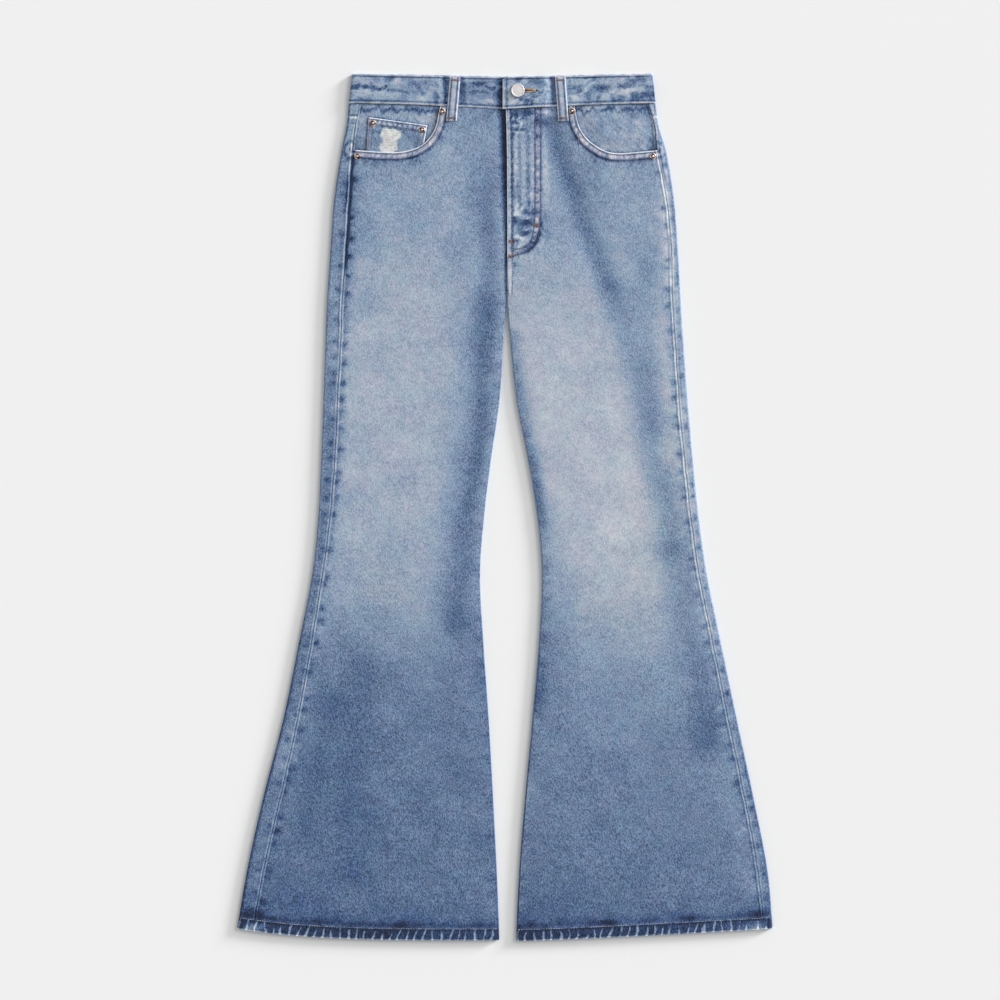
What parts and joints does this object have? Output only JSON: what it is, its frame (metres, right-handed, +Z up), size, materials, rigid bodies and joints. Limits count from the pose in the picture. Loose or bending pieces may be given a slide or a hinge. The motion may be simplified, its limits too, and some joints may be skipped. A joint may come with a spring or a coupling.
{
  "type": "bootcut jeans",
  "caption": "High-waisted bootcut jeans with a wide flare below the knee, laid flat on their back, with curved front pockets, belt loops, rivets and a fastened shank button.",
  "frame": {"origin": "middle of the garment's outline, on the surface that it lies on", "axes": "+X towards the wearer's left leg, +Y from the hems towards the waist, +Z up out of the surface"},
  "size_m": [0.67, 1.085, 0.0115],
  "materials": {
    "denim": "washed blue denim, faded on the thighs and knees",
    "button_metal": "pale silver, satin",
    "rivet_metal": "worn copper"
  },
  "bodies": {
    "root": {"right_front_panel": "denim", "left_front_panel": "denim", "right_back_panel": "denim", "left_back_panel": "denim", "right_yoke": "denim", "left_yoke": "denim", "waistband": "denim", "right_pocket_facing": "denim", "left_pocket_facing": "denim", "coin_pocket": "denim", "right_back_pocket": "denim", "left_back_pocket": "denim", "belt_loop_front_right": "denim", "belt_loop_front_left": "denim", "belt_loop_back_right": "denim", "belt_loop_back_middle": "denim", "belt_loop_back_left": "denim", "waist_button": "button_metal", "rivet_pocket_right_inner": "rivet_metal", "rivet_pocket_right_outer": "rivet_metal", "rivet_coin_outer": "rivet_metal", "rivet_coin_inner": "rivet_metal", "rivet_pocket_left_inner": "rivet_metal", "rivet_pocket_left_outer": "rivet_metal"}
  },
  "joints": []
}
